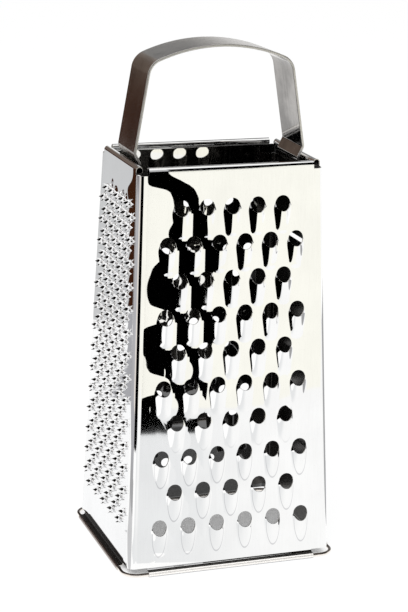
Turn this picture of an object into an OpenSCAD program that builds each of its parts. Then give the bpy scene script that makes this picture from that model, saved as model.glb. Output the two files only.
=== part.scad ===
// Four-sided box grater in pressed stainless sheet, with a bent strap handle.
// Origin at the middle of the footprint, on the surface it stands on.
// +Z up, front (coarse) face toward -Y, fine face toward -X.

/* [Body] */
// Width of the front and back faces at their lower edge, outside
base_w = 99.5; // [90:0.5:120]
// Width of the left and right faces at their lower edge, outside
base_d = 82.7; // [76:0.1:100]
// Width of the front and back faces at the rim, outside
top_w = 87.7; // [82:0.1:98]
// Width of the left and right faces at the rim, outside
top_d = 59.3; // [56:0.1:75]
// Height of the rim above the table
rim_h = 188.5; // [175:0.5:230]
// Thickness of the sheet
sheet_t = 0.4; // [0.3:0.05:0.6]
// Outside radius of the four upright bends
corner_r = 4; // [3.2:0.2:5]

/* [Upright seams] */
// Flat lip of the front and back sheets past each bend
lip_w = 0.8; // [0.5:0.1:1.5]
// Gap between the lip and the side sheet
seam_gap = 0.08; // [0.04:0.02:0.2]
// Width of the step where a side sheet ducks behind the lip
step_w = 1.2; // [0.8:0.1:2]
// Width of the side sheet's flange inside the front and back sheets
flange_w = 6; // [4:0.5:8]
// Clearance between the nested sheets
nest_gap = 0.05; // [0.02:0.01:0.1]
// Height of the flange's lower end above the face's lower edge
flange_base = 2; // [1:0.5:6]
// Distance of the flange's upper end below the rim
flange_drop = 8; // [6:0.5:20]

/* [Rim hem] */
// Outside diameter of the inward roll along the rim
hem_d = 3.4; // [2.4:0.1:4.4]
// Distance from each corner to the end of the roll
hem_setback = 4.8; // [4.4:0.1:8]

/* [Base hem and wire] */
// Diameter of the stiffening wire
wire_d = 1.6; // [1.2:0.1:2.4]
// Clearance between the wire and the sheet rolled round it
wire_gap = 0.05; // [0.03:0.01:0.1]
// Radius of the outward flare above the roll
flare_r = 1.1; // [0.9:0.1:2]
// Flat shelf between the flare and the top of the roll
shelf_w = 0.9; // [0.7:0.1:2]
// Distance from each corner to the end of the base roll
base_setback = 9; // [8.5:0.5:16]
// Bend radius of the wire at the four corners, on its centre line
wire_bend = 7; // [5:0.5:10]
// Depth of the flat worn on the underside of the roll
tread_flat = 0.12; // [0.08:0.02:0.2]

/* [Handle strap] */
// Overall height of the grater
total_h = 240; // [236:0.5:280]
// Width of the strap
strap_w = 25; // [18:0.5:32]
// Thickness of the strap
strap_t = 1.2; // [0.8:0.1:2]
// Outside radius of the arched top
arch_r = 78.6; // [60:0.1:120]
// Outside half width at the shoulders, where leg and arch would meet
shoulder_half = 34.4; // [30:0.1:36]
// Outside radius of the shoulder bends
shoulder_r = 9; // [5:0.5:12]
// Lean of the legs from upright
leg_lean = 9.5; // [7:0.1:10]
// Height above the rim where a leg turns inward
joggle_above = 3.3; // [2.4:0.1:5]
// Lean of the inward joggle from upright
joggle_lean = 26; // [24:0.5:34]
// Drop of the joggle, from its first bend to its second
joggle_drop = 5.5; // [4.6:0.1:8]
// Drop of the run back out to the wall
return_drop = 7; // [5:0.5:12]
// Length of the tab that lies flat on the wall
tab_len = 16; // [12:0.5:25]
// Centre line radius of the bends by the rim
joggle_r = 2; // [1.5:0.1:3]
// Gap between the tab and the wall, filled by the welds
tab_gap = 0.03; // [0.02:0.01:0.1]
// Distance of the weld marks from the middle of the strap
weld_offset = 9; // [5:0.5:10]
// Distance of the weld marks below the rim
weld_drop = 14.8; // [13:0.2:22]
// Diameter of a weld mark
weld_d = 2.8; // [2:0.1:4]
// Depth of a weld mark
weld_depth = 0.14; // [0.08:0.02:0.2]

/* [Cutting faces] */
// Distance from the rim to the middle of the first row
pattern_top = 18.3; // [16:0.1:24]
// Distance from the face's lower edge to the middle of the last row
pattern_base = 18.9; // [16:0.1:26]

// Lean of the cut that opens a scoop's mouth, outward and down
mouth_lean = 10; // [0:1:25]

/* [Coarse scoops] */
// Width of a scoop's mouth
coarse_mouth = 7; // [5.5:0.1:7.4]
// Height of a scoop's lip above the face
coarse_lip = 2.2; // [1.6:0.1:2.4]
// Height of a scoop's far end above the face
coarse_tail = 1.1; // [0.8:0.1:1.4]
// Width of a scoop at its far end
coarse_tail_w = 5.2; // [4.4:0.1:5.6]
// Length of a scoop from the middle of its mouth to its far end
coarse_len = 13.3; // [11:0.1:14]
// Number of rows
coarse_rows = 10; // [8:1:11]
// Number of scoops in a long row
coarse_cols = 6; // [5:1:6]
// Distance from the face's edge to the outermost mouths of a long row
coarse_margin = 14.3; // [13:0.1:20]

/* [Medium scoops] */
// Width of a scoop's mouth
medium_mouth = 4.8; // [3.8:0.1:5.2]
// Height of a scoop's lip above the face
medium_lip = 1.5; // [1.1:0.1:1.7]
// Height of a scoop's far end above the face
medium_tail = 0.8; // [0.6:0.05:0.95]
// Width of a scoop at its far end
medium_tail_w = 3.6; // [3:0.1:3.8]
// Length of a scoop from the middle of its mouth to its far end
medium_len = 9.4; // [8:0.1:10]
// Number of rows
medium_rows = 13; // [9:1:13]
// Number of scoops in a long row
medium_cols = 7; // [5:1:8]
// Distance from the face's edge to the outermost mouths of a long row
medium_margin = 13.6; // [12.5:0.1:20]

/* [Fine stars] */
// Width of a star's pierced hole
star_hole = 2.2; // [1.6:0.1:2.6]
// Wall of torn metal around the hole, at the face
star_wall = 0.35; // [0.25:0.05:0.5]
// Height of the four points above the face
star_h = 1.35; // [0.9:0.05:1.6]
// Number of rows
star_rows = 29; // [20:1:30]
// Number of stars in a long row
star_cols = 6; // [5:1:6]
// Distance from the face's edge to the outermost stars of a long row
star_margin = 9.8; // [9:0.1:14]

/* [Slicer slots] */
// Number of slots
slot_count = 3; // [2:1:4]
// Distance from the face's edge to the end of a slot
slot_margin = 13.5; // [12:0.5:20]
// Height of the gap above a blade
slot_gap = 3.6; // [2.5:0.1:3.8]
// Height of a blade's edge above the face
blade_rise = 2; // [1.2:0.1:2.4]
// Length of the ramp below a blade's edge
ramp_len = 11; // [8:0.5:14]
// Distance from the rim to the first blade's edge
slot_top = 46; // [36:1:56]
// Distance between blades
slot_pitch = 44; // [30:1:46]

/* [Hidden] */
$fn = 64;

// Overrun of every cut past the surface it opens
over = sheet_t;
// Overlap of neighbouring stretches of one flat sheet
lap = corner_r / 8;
// Length by which a bend runs on into the flat stretches at its ends
knit = sheet_t / 20;
// Thickness that the metal loses where it is bent
bend_thin = knit / 2;

// Base roll: its bore, its outside radius and the height of its centre line
roll_in = wire_d / 2 + wire_gap;
roll_r = roll_in + sheet_t;
roll_z = roll_r - tread_flat;
// Height of the faces' lower edges
foot_h = roll_z + roll_r + flare_r;
face_h = rim_h - foot_h;

// Lean of the faces, inward as they rise
slope_x = (base_w - top_w) / 2 / face_h;
slope_y = (base_d - top_d) / 2 / face_h;
lean_x = atan(slope_x);
lean_y = atan(slope_y);

// Directions at the front left corner, along the edge and across each face
function unit(v) = v / norm(v);
edge_dir = unit([slope_x, slope_y, 1]);
front_dir = unit([1, 0, 0] - edge_dir.x * edge_dir);
left_dir = unit([0, 1, 0] - edge_dir.y * edge_dir);
across_dir = cross(edge_dir, front_dir);
corner_angle = acos(front_dir * left_dir);
edge_len = face_h / edge_dir.z;

// Distance from the sharp corner to the start of the bend, across a face
bend_at = corner_r / tan(corner_angle / 2);
seam_at = bend_at + lip_w + seam_gap;
// Centre of the bend in the corner's cross-section
bend_mid = [bend_at, corner_r];

// Rim roll
hem_r = hem_d / 2;
corner_top = rim_h - hem_d;

// Each face, as [turn about Z, half depth, lean, half width, loss of half width per height]
FRONT = [0, base_d / 2, lean_y, base_w / 2, slope_x];
LEFT = [-90, base_w / 2, lean_x, base_d / 2, slope_y];
BACK = [180, base_d / 2, lean_y, base_w / 2, slope_x];
RIGHT = [90, base_w / 2, lean_x, base_d / 2, slope_y];

// Place along a face, up its slope, of a height above the table on its outer surface
function slope_at(face, z) = (z - foot_h) / cos(face[2]);
// Half width of a face at a place up its slope, to the sharp corner
function half_at(face, v) = face[3] - v * cos(face[2]) * face[4];
// Lean of a face's upright edge within the face
function edge_lean(face) = atan(face[4] * cos(face[2]));
// Middle of the rim roll, up the slope
function hem_at(face) = (rim_h - hem_r - foot_h + hem_r * sin(face[2])) / cos(face[2]);

// Draws its children on a face: X to the right, Y up the slope, Z outward
module on_face(face) {
    rotate([0, 0, face[0]])
        translate([0, -face[1], foot_h])
            rotate([90 - face[2], 0, 0])
                children();
}

// Sweeps a profile of [up the slope, outward] across a face
module across(length) {
    rotate([90, 0, 90])
        linear_extrude(length, center = true)
            children();
}

// Sweeps a profile of [outward, up] along the foot of a face
module along_foot(face, length) {
    rotate([0, 0, face[0]])
        translate([0, -face[1], 0])
            rotate([90, 0, -90])
                linear_extrude(length, center = true)
                    children();
}

// Draws a cross-section along the front left corner's edge, between two heights
module along_corner(z_from, z_to) {
    o = [-base_w / 2, -base_d / 2, foot_h];
    intersection() {
        multmatrix([
            [front_dir.x, across_dir.x, edge_dir.x, o.x],
            [front_dir.y, across_dir.y, edge_dir.y, o.y],
            [front_dir.z, across_dir.z, edge_dir.z, o.z],
            [0, 0, 0, 1]
        ])
            translate([0, 0, -corner_r])
                linear_extrude(edge_len + 2 * corner_r)
                    children();
        translate([-base_w, -base_d, z_from])
            cube([2 * base_w, 2 * base_d, z_to - z_from]);
    }
}

// Full ring of bent sheet with an outside radius
module sheet_ring(r_out) {
    difference() {
        circle(r_out - bend_thin / 2);
        circle(r_out - sheet_t + bend_thin / 2);
    }
}

// Stretch of a ring inside the bend's own quadrant
module bend_ring(r_out) {
    intersection() {
        translate(bend_mid)
            sheet_ring(r_out);
        polygon([
            bend_mid,
            [bend_at + knit, 0],
            [0, 0],
            (bend_at + knit) * [cos(corner_angle), sin(corner_angle)]
        ]);
    }
}

// Cross-section of the front sheet round the corner, with its lip on the left face
module wrap_profile() {
    bend_ring(corner_r);
    translate([bend_at, 0])
        square([lap, sheet_t]);
    rotate(corner_angle)
        translate([bend_at, -sheet_t])
            square([lip_w, sheet_t]);
}

// Cross-section of the left sheet behind the lip and inside the front sheet
module tuck_profile() {
    depth = sheet_t + nest_gap;
    bend_ring(corner_r - depth);
    translate([bend_at, depth])
        square([flange_w, sheet_t]);
    rotate(corner_angle) {
        translate([bend_at, -depth - sheet_t])
            square([lip_w + seam_gap + step_w, sheet_t]);
        translate([seam_at, -depth - sheet_t])
            square([step_w, depth + sheet_t]);
    }
}

// Flat of a face between two upright lines, up to the notched corners
module flat_sheet(face, edge_at) {
    inset = edge_at / cos(edge_lean(face));
    v_top = slope_at(face, corner_top);
    low = half_at(face, 0) - inset;
    high = half_at(face, v_top) - inset;
    on_face(face)
        translate([0, 0, -sheet_t])
            linear_extrude(sheet_t)
                polygon([[-low, 0], [low, 0], [high, v_top], [-high, v_top]]);
}

// Neck and inward roll along the rim
module rim_hem(face) {
    v_low = slope_at(face, corner_top) - lap;
    v_mid = hem_at(face);
    length = 2 * (half_at(face, v_mid) - hem_setback);
    on_face(face) {
        translate([-length / 2, v_low, -sheet_t])
            cube([length, v_mid - v_low, sheet_t]);
        translate([0, v_mid, -hem_r])
            across(length)
                difference() {
                    sheet_ring(hem_r);
                    translate([-hem_r - knit, 0])
                        square(hem_r);
                }
    }
}

// Flare, shelf and roll along the foot, round the wire
module base_hem(face) {
    length = 2 * (face[3] - base_setback);
    flare_at = flare_r / cos(face[2]);
    roll_at = flare_at + shelf_w;
    outer_r = flare_r + sheet_t;
    from_lean = face[2] - knit / flare_r * 180 / PI;
    difference() {
        along_foot(face, length) {
            translate([flare_at, foot_h])
                intersection() {
                    sheet_ring(outer_r);
                    polygon([
                        [0, 0],
                        -2 * outer_r * [cos(from_lean), sin(from_lean)],
                        -2 * outer_r * [1, 1],
                        [knit, -2 * outer_r]
                    ]);
                }
            translate([flare_at, roll_z + roll_r - sheet_t])
                square([shelf_w, sheet_t]);
            translate([roll_at, roll_z])
                difference() {
                    sheet_ring(roll_r);
                    translate([-roll_r - knit, 0])
                        square(roll_r);
                }
        }
        translate([-base_w, -base_w, -roll_r])
            cube([2 * base_w, 2 * base_w, roll_r]);
    }
}

// Narrow strip that joins the flat of a face to its flare
module foot_strip(face) {
    length = 2 * (face[3] - base_setback);
    drop = flare_r * tan(face[2]);
    on_face(face)
        translate([-length / 2, -drop, -sheet_t])
            cube([length, drop + lap, sheet_t]);
}

// Front sheet without its scoops
module wide_sheet() {
    flat_sheet(FRONT, bend_at);
    rim_hem(FRONT);
    base_hem(FRONT);
    foot_strip(FRONT);
    for (side = [0, 1])
        mirror([side, 0, 0])
            along_corner(foot_h, corner_top)
                wrap_profile();
}

// Left sheet without its stars
module narrow_sheet() {
    flat_sheet(LEFT, seam_at);
    rim_hem(LEFT);
    base_hem(LEFT);
    foot_strip(LEFT);
    for (side = [0, 1])
        mirror([0, side, 0])
            along_corner(foot_h + flange_base, rim_h - flange_drop)
                tuck_profile();
}

// Staggered rows that fan with the face: places each child at its place on the face
module staggered(face, rows, cols, margin, short_first = true) {
    v_top = slope_at(face, rim_h - pattern_top);
    v_low = slope_at(face, foot_h + pattern_base);
    pitch_v = (v_top - v_low) / (rows - 1);
    for (row = [0:rows - 1]) {
        v = v_top - row * pitch_v;
        count = (row % 2 == (short_first ? 0 : 1)) ? cols - 1 : cols;
        pitch_u = 2 * (half_at(face, v) - margin) / (cols - 1);
        for (col = [0:count - 1])
            translate([(col - (count - 1) / 2) * pitch_u, v, 0])
                children();
    }
}

// Radius of a round that stands a height above the face over a given width
function round_r(width, height) = (width * width / 4 + height * height) / (2 * height);

// Tapered round-ended dome lying in the face: its two end radii grow by a margin
module dome(mouth, lip, tail, tail_w, len, grow) {
    r1 = round_r(mouth, lip);
    r2 = round_r(tail_w, tail);
    w1 = lip - r1;
    w2 = tail - r2;
    v2 = tail_w / 2 - len;
    run = norm([v2, w2 - w1]);
    dip = atan2(w1 - w2, -v2);
    taper = asin((r1 - r2) / run);
    translate([0, 0, w1])
        rotate([90 + dip, 0, 0]) {
            translate([0, 0, (r1 + grow) * sin(taper)])
                cylinder(
                    h = run - (r1 - r2) * sin(taper),
                    r1 = (r1 + grow) * cos(taper),
                    r2 = (r2 + grow) * cos(taper)
                );
            translate([0, 0, run])
                sphere(r2 + grow);
        }
}

// Raised metal of one scoop, above the inside of the sheet
module scoop_skin(mouth, lip, tail, tail_w, len) {
    intersection() {
        dome(mouth, lip, tail, tail_w, len, 0);
        translate([-mouth, -2 * len, -sheet_t])
            cube([2 * mouth, 2 * len, lip + 2 * sheet_t]);
    }
}

// Hollow under one scoop and its leaning round mouth
module scoop_hollow(mouth, lip, tail, tail_w, len) {
    dome(mouth, lip, tail, tail_w, len, -sheet_t);
    rotate([mouth_lean, 0, 0])
        translate([0, 0, -mouth])
            cylinder(h = 2 * mouth + lip, d = mouth);
}

// Torn metal of one star: two crossed ridges, which the pierced hole cuts into four points
module star_points() {
    half = star_hole / 2 + star_wall;
    root = sheet_t / 2;
    for (turn = [0, 90])
        rotate(turn)
            rotate([90, 0, 0])
                linear_extrude(2 * half, center = true)
                    polygon([[-half, -root], [half, -root], [half, 0], [0, star_h], [-half, 0]]);
}

// Two shallow weld marks where the handle's tab is joined to a side face
module weld_marks(face) {
    ball_r = round_r(weld_d, weld_depth);
    on_face(face)
        for (side = [-1, 1])
            translate([side * weld_offset, slope_at(face, rim_h - weld_drop), ball_r - weld_depth])
                sphere(ball_r);
}

// Raised blade of one slicer slot, with a rounded cheek at each end
module blade_skin(width) {
    across(width)
        polygon([
            [-ramp_len, 0],
            [0, blade_rise],
            [0, blade_rise - sheet_t / 3],
            [-sheet_t, blade_rise - sheet_t],
            [-ramp_len, -sheet_t]
        ]);
    for (side = [0, 1])
        mirror([side, 0, 0])
            translate([width / 2, 0, 0])
                intersection() {
                    rotate([90, 0, 0])
                        cylinder(h = ramp_len, r1 = blade_rise, r2 = 0);
                    translate([-lap / 4, -ramp_len, -sheet_t])
                        cube([2 * blade_rise, ramp_len, 2 * blade_rise]);
                }
}

// Hollow under one blade and the gap above it
module blade_hollow(width) {
    ramp = blade_rise / ramp_len;
    inner = blade_rise - sheet_t;
    across(width)
        polygon([
            [-inner / ramp, 0],
            [slot_gap, 0],
            [slot_gap, -2 * over],
            [-inner / ramp - 2 * over / ramp, -2 * over]
        ]);
    across(width)
        polygon([
            [-inner / ramp, 0],
            [-sheet_t, inner - sheet_t * ramp],
            [over, inner - sheet_t * ramp],
            [over, 0]
        ]);
    for (side = [0, 1])
        mirror([side, 0, 0])
            translate([width / 2, 0, 0]) {
                rotate([90, 0, 0])
                    translate([0, 0, -over])
                        cylinder(h = inner / ramp + over, r1 = inner + over * ramp, r2 = 0);
                translate([0, slot_gap / 2, -2 * over])
                    cylinder(h = 3 * over, d = slot_gap);
            }
}

// Places each slicer slot, with its own width, on a face
module each_slot(face) {
    for (i = [0:slot_count - 1]) {
        v = slope_at(face, rim_h - slot_top - i * slot_pitch);
        translate([0, v, 0]) {
            $slot_w = 2 * (half_at(face, v) - slot_margin);
            children();
        }
    }
}

module front_panel() {
    color("gainsboro")
        difference() {
            union() {
                wide_sheet();
                on_face(FRONT)
                    staggered(FRONT, coarse_rows, coarse_cols, coarse_margin)
                        scoop_skin(coarse_mouth, coarse_lip, coarse_tail, coarse_tail_w, coarse_len);
            }
            on_face(FRONT)
                staggered(FRONT, coarse_rows, coarse_cols, coarse_margin)
                    scoop_hollow(coarse_mouth, coarse_lip, coarse_tail, coarse_tail_w, coarse_len);
        }
}

module back_panel() {
    color("gainsboro")
        difference() {
            union() {
                rotate([0, 0, 180])
                    wide_sheet();
                on_face(BACK)
                    staggered(BACK, medium_rows, medium_cols, medium_margin)
                        scoop_skin(medium_mouth, medium_lip, medium_tail, medium_tail_w, medium_len);
            }
            on_face(BACK)
                staggered(BACK, medium_rows, medium_cols, medium_margin)
                    scoop_hollow(medium_mouth, medium_lip, medium_tail, medium_tail_w, medium_len);
        }
}

module left_panel() {
    color("lightsteelblue")
        difference() {
            union() {
                narrow_sheet();
                on_face(LEFT)
                    staggered(LEFT, star_rows, star_cols, star_margin)
                        star_points();
            }
            on_face(LEFT)
                staggered(LEFT, star_rows, star_cols, star_margin)
                    translate([-star_hole / 2, -star_hole / 2, -sheet_t - over])
                        cube([star_hole, star_hole, sheet_t + star_h + 2 * over]);
            weld_marks(LEFT);
        }
}

module right_panel() {
    color("lightsteelblue")
        difference() {
            union() {
                rotate([0, 0, 180])
                    narrow_sheet();
                on_face(RIGHT)
                    each_slot(RIGHT)
                        blade_skin($slot_w);
            }
            on_face(RIGHT)
                each_slot(RIGHT)
                    blade_hollow($slot_w);
            weld_marks(RIGHT);
        }
}

// Closed ring of wire inside the four base rolls, a hair thinner where it is bent
module base_wire() {
    half_x = base_w / 2 + flare_r / cos(lean_x) + shelf_w;
    half_y = base_d / 2 + flare_r / cos(lean_y) + shelf_w;
    bent_d = wire_d - bend_thin;
    run_on = knit / wire_bend * 180 / PI;
    color("silver") {
        translate([0, 0, roll_z])
            for (x_side = [0, 1])
                mirror([x_side, 0, 0]) {
                    translate([half_x, 0, 0])
                        rotate([90, 0, 0])
                            cylinder(h = 2 * (half_y - wire_bend), d = wire_d, center = true);
                    for (y_side = [0, 1])
                        mirror([0, y_side, 0])
                            translate([half_x - wire_bend, half_y - wire_bend, 0])
                                rotate(-run_on)
                                    rotate_extrude(angle = 90 + 2 * run_on)
                                        translate([wire_bend, 0])
                                            circle(d = bent_d);
                }
        for (side = [-1, 1])
            translate([0, side * half_y, roll_z])
                rotate([0, 90, 0])
                    cylinder(h = 2 * (half_x - wire_bend), d = wire_d, center = true);
    }
}

// Centre line of the strap: arch, shoulder, leg, joggle and tab, right side in X and Z
arch_mid_r = arch_r - strap_t / 2;
arch_c = [0, total_h - arch_r];
shoulder_mid_r = shoulder_r - strap_t / 2;
leg_dir = [sin(leg_lean), -cos(leg_lean)];
leg_in = [-cos(leg_lean), -sin(leg_lean)];
knee_outer = [shoulder_half, arch_c.y + sqrt(arch_r * arch_r - shoulder_half * shoulder_half)];
knee = knee_outer + leg_in * strap_t / 2;
to_line = knee + leg_in * shoulder_mid_r - arch_c;
reach = arch_mid_r - shoulder_mid_r;
slide = (to_line * leg_dir) + sqrt(pow(to_line * leg_dir, 2) - to_line * to_line + reach * reach);
shoulder_c = arch_c + to_line - slide * leg_dir;
arch_half = atan2(shoulder_c.x - arch_c.x, shoulder_c.y - arch_c.y);
leg_top = shoulder_c - leg_in * shoulder_mid_r;
// First bend by the rim
bend_a = leg_top + leg_dir * ((leg_top.y - rim_h - joggle_above) / cos(leg_lean));
bend_b = bend_a + joggle_drop * [-tan(joggle_lean), -1];
wall_in = sheet_t + tab_gap + strap_t / 2;
function tab_x(z) = base_w / 2 - (z - foot_h) * slope_x - wall_in / cos(lean_x);
bend_c = [tab_x(bend_b.y - return_drop), bend_b.y - return_drop];
tab_end = bend_c + tab_len * [sin(lean_x), -cos(lean_x)];
leg_line = [leg_top, bend_a, bend_b, bend_c, tab_end];

// Turn at a corner of the leg's centre line
function turn_at(p, i) = let (
        a = unit(p[i] - p[i - 1]),
        b = unit(p[i + 1] - p[i])
    ) atan2(cross(a, b), a * b);
// Length that the bend at a corner takes from each straight
function trim_at(p, i) = (i == 0 || i == len(p) - 1) ? 0 : joggle_r * tan(abs(turn_at(p, i)) / 2);

// Round stretch of strap about a centre in X and Z, from one angle above +X to another
module strap_arc(c, r, from, to, thin, run_on) {
    more = run_on / r * 180 / PI;
    width = strap_w - thin;
    translate([c.x, 0, c.y])
        rotate([90, 0, 0])
            rotate([0, 0, from - more])
                rotate_extrude(angle = to - from + 2 * more)
                    translate([r - (strap_t - thin) / 2, -width / 2])
                        square([strap_t - thin, width]);
}

// Straight stretches and round bends of a strap along a centre line in X and Z
module strap_run(p) {
    for (i = [0:len(p) - 2]) {
        d = unit(p[i + 1] - p[i]);
        start = p[i] + d * trim_at(p, i);
        length = norm(p[i + 1] - p[i]) - trim_at(p, i) - trim_at(p, i + 1);
        translate([start.x, 0, start.y])
            rotate([0, -atan2(d.y, d.x), 0])
                translate([0, -strap_w / 2, -strap_t / 2])
                    cube([length, strap_w, strap_t]);
    }
    for (i = [1:len(p) - 2]) {
        a = unit(p[i] - p[i - 1]);
        turn = turn_at(p, i);
        side = sign(turn);
        left = [-a.y, a.x];
        start = p[i] - a * trim_at(p, i);
        c = start + left * side * joggle_r;
        from_c = start - c;
        from = atan2(from_c.y, from_c.x) + min(turn, 0);
        strap_arc(c, joggle_r, from, from + abs(turn), bend_thin, knit);
    }
}

module handle_strap() {
    color("gray") {
        strap_arc(arch_c, arch_mid_r, 90 - arch_half, 90 + arch_half, 0, 0);
        for (side = [0, 1])
            mirror([side, 0, 0]) {
                strap_arc(shoulder_c, shoulder_mid_r, leg_lean, 90 - arch_half, bend_thin, knit);
                strap_run(leg_line);
            }
    }
}

front_panel();
left_panel();
back_panel();
right_panel();
base_wire();
handle_strap();
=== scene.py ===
"""Dresses the box grater: pressed sheets, base wire, strap handle and the studio round them."""
import logging
import math
import random
from dataclasses import dataclass, field, replace
from enum import Enum, IntEnum
from typing import Callable, Iterable, Optional, Sequence, Union

import bmesh
import bpy
from mathutils import Matrix, Vector


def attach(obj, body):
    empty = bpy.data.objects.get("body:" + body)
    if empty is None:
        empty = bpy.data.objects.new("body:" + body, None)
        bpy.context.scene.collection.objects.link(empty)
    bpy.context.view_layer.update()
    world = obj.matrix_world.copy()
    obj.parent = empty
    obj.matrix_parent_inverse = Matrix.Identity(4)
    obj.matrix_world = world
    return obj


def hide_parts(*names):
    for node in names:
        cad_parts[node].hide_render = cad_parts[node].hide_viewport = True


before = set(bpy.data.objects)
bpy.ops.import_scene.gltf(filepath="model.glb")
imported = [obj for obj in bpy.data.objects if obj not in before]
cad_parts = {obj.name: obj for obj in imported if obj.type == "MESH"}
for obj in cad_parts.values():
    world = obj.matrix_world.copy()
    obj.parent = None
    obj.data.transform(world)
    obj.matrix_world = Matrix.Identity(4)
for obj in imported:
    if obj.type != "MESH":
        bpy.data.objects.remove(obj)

LOG = logging.getLogger("grater")
MM = 0.001
Point = tuple[float, float]
Colour = tuple[float, float, float]
BMesh = bmesh.types.BMesh
Verts = list[bmesh.types.BMVert]
Edges = list[bmesh.types.BMEdge]

WHITE: Colour = (1.0, 1.0, 1.0)
CREAM: Colour = (1.0, 0.99, 0.915)
BROWN: Colour = (0.042, 0.014, 0.006)
BLACK: Colour = (0.0, 0.0, 0.0)


# ---------------------------------------------------------------- shader maths

class Sock:
    """Wraps a node socket, so that an expression on it adds Math nodes."""

    def __init__(self, graph: "Graph", socket: bpy.types.NodeSocket) -> None:
        """Keeps the graph and the socket."""
        self.graph = graph
        self.socket = socket

    def _join(self, operation: str, first: "Value", second: "Value") -> "Sock":
        """Adds one Math node.

        Args:
            operation: the node's operation.
            first: its first value.
            second: its second value.

        Returns:
            The node's output.
        """
        return self.graph.node("ShaderNodeMath", {"operation": operation}, {0: first, 1: second})

    def __add__(self, other: "Value") -> "Sock":
        """Sum."""
        return self._join("ADD", self, other)

    __radd__ = __add__

    def __sub__(self, other: "Value") -> "Sock":
        """Difference."""
        return self._join("SUBTRACT", self, other)

    def __rsub__(self, other: "Value") -> "Sock":
        """Difference, taken from a number."""
        return self._join("SUBTRACT", other, self)

    def __mul__(self, other: "Value") -> "Sock":
        """Product."""
        return self._join("MULTIPLY", self, other)

    __rmul__ = __mul__

    def __truediv__(self, other: "Value") -> "Sock":
        """Quotient."""
        return self._join("DIVIDE", self, other)

    def cosine(self) -> "Sock":
        """Cosine of an angle in radians."""
        return self._join("COSINE", self, 0.0)

    def size(self) -> "Sock":
        """Absolute value."""
        return self._join("ABSOLUTE", self, 0.0)

    def whole(self) -> "Sock":
        """Greatest whole number below."""
        return self._join("FLOOR", self, 0.0)

    def part(self) -> "Sock":
        """What is left above the whole number."""
        return self._join("FRACT", self, 0.0)

    def most(self, other: "Value") -> "Sock":
        """The greater of two values."""
        return self._join("MAXIMUM", self, other)


Value = Union[Sock, float, int, Sequence[float]]


class Graph:
    """Builds one node tree."""

    def __init__(self, tree: bpy.types.NodeTree) -> None:
        """Empties the tree."""
        self.tree = tree
        tree.nodes.clear()

    def node(
        self,
        kind: str,
        settings: Optional[dict[str, object]] = None,
        inputs: Optional[dict[Union[int, str], Value]] = None,
        output: Union[int, str] = 0,
    ) -> Sock:
        """Adds any node.

        Args:
            kind: the node's type.
            settings: properties that are set first. A ramp's stops are under "stops" and its
                interpolation is under "curve".
            inputs: values or links of its sockets, by name or number.
            output: the output to return.

        Returns:
            One output of the node.
        """
        made = self.tree.nodes.new(kind)
        for name, value in (settings or {}).items():
            if name == "stops":
                ramp = made.color_ramp
                while len(ramp.elements) < len(value):
                    ramp.elements.new(0.5)
                for stop, (place, colour) in zip(ramp.elements, value):
                    stop.position = place
                    stop.color = (*colour, 1.0)
            elif name == "curve":
                made.color_ramp.interpolation = value
            else:
                setattr(made, name, value)
        for name, value in (inputs or {}).items():
            if isinstance(value, Sock):
                self.tree.links.new(value.socket, made.inputs[name])
            else:
                made.inputs[name].default_value = value
        if not len(made.outputs):
            return Sock(self, made.inputs[0])
        return Sock(self, made.outputs[output])

    def glow(self, colour: Colour, strength: float = 1.0) -> Sock:
        """Light of one colour."""
        return self.node("ShaderNodeEmission", None, {"Color": (*colour, 1.0), "Strength": strength})

    def place(self) -> Sock:
        """Object coordinates in metres."""
        return self.node("ShaderNodeTexCoord", output="Object")

    def axes(self) -> tuple[Sock, Sock, Sock]:
        """Object coordinates in millimetres, one socket for each axis.

        Returns:
            The X, Y and Z sockets.
        """
        split = self.node("ShaderNodeSeparateXYZ", inputs={0: self.place()})
        x, y, z = (Sock(self, out) * (1 / MM) for out in split.socket.node.outputs)
        return x, y, z

    def step(self, value: Value, low: float, high: float) -> Sock:
        """Smooth step.

        Args:
            value: what is tested.
            low: where the result is 0.
            high: where the result is 1.

        Returns:
            A share from 0 to 1.
        """
        settings = {"interpolation_type": "SMOOTHSTEP", "clamp": True}
        return self.node("ShaderNodeMapRange", settings, {0: value, 1: low, 2: high, 3: 0.0, 4: 1.0})

    def grain(self, stretch: Sequence[float], detail: float = 3.0, roughness: float = 0.55) -> Sock:
        """Noise whose scale differs by axis, about 0.5 on average.

        Args:
            stretch: cells per metre along X, Y and Z.
            detail: octaves.
            roughness: weight of the finer octaves.

        Returns:
            A value from 0 to 1.
        """
        inputs = {"Vector": self.place(), "Scale": stretch}
        spot = self.node("ShaderNodeMapping", {"vector_type": "POINT"}, inputs)
        inputs = {"Vector": spot, "Scale": 1.0, "Detail": detail, "Roughness": roughness}
        return self.node("ShaderNodeTexNoise", {"noise_dimensions": "3D"}, inputs)

    def blend(self, share: Value, first: Value, second: Value) -> Sock:
        """Mixes two colours.

        Args:
            share: 0 for the first, 1 for the second.
            first: a colour.
            second: a colour.

        Returns:
            The mixed colour.
        """
        rgba = [v if isinstance(v, Sock) else (*v, 1.0) for v in (first, second)]
        inputs = {"Factor": share, 6: rgba[0], 7: rgba[1]}
        return self.node("ShaderNodeMix", {"data_type": "RGBA"}, inputs, 2)

    def tilt(self, normal: Sock, toward: Sequence[float], amount: Value) -> Sock:
        """Leans a normal by a small share of a direction.

        Args:
            normal: the normal.
            toward: the direction, of unit length.
            amount: tangent of the lean.

        Returns:
            The leaned normal, of unit length.
        """
        push = self.node("ShaderNodeVectorMath", {"operation": "SCALE"}, {0: toward, "Scale": amount})
        both = self.node("ShaderNodeVectorMath", {"operation": "ADD"}, {0: normal, 1: push})
        return self.node("ShaderNodeVectorMath", {"operation": "NORMALIZE"}, {0: both})


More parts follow.
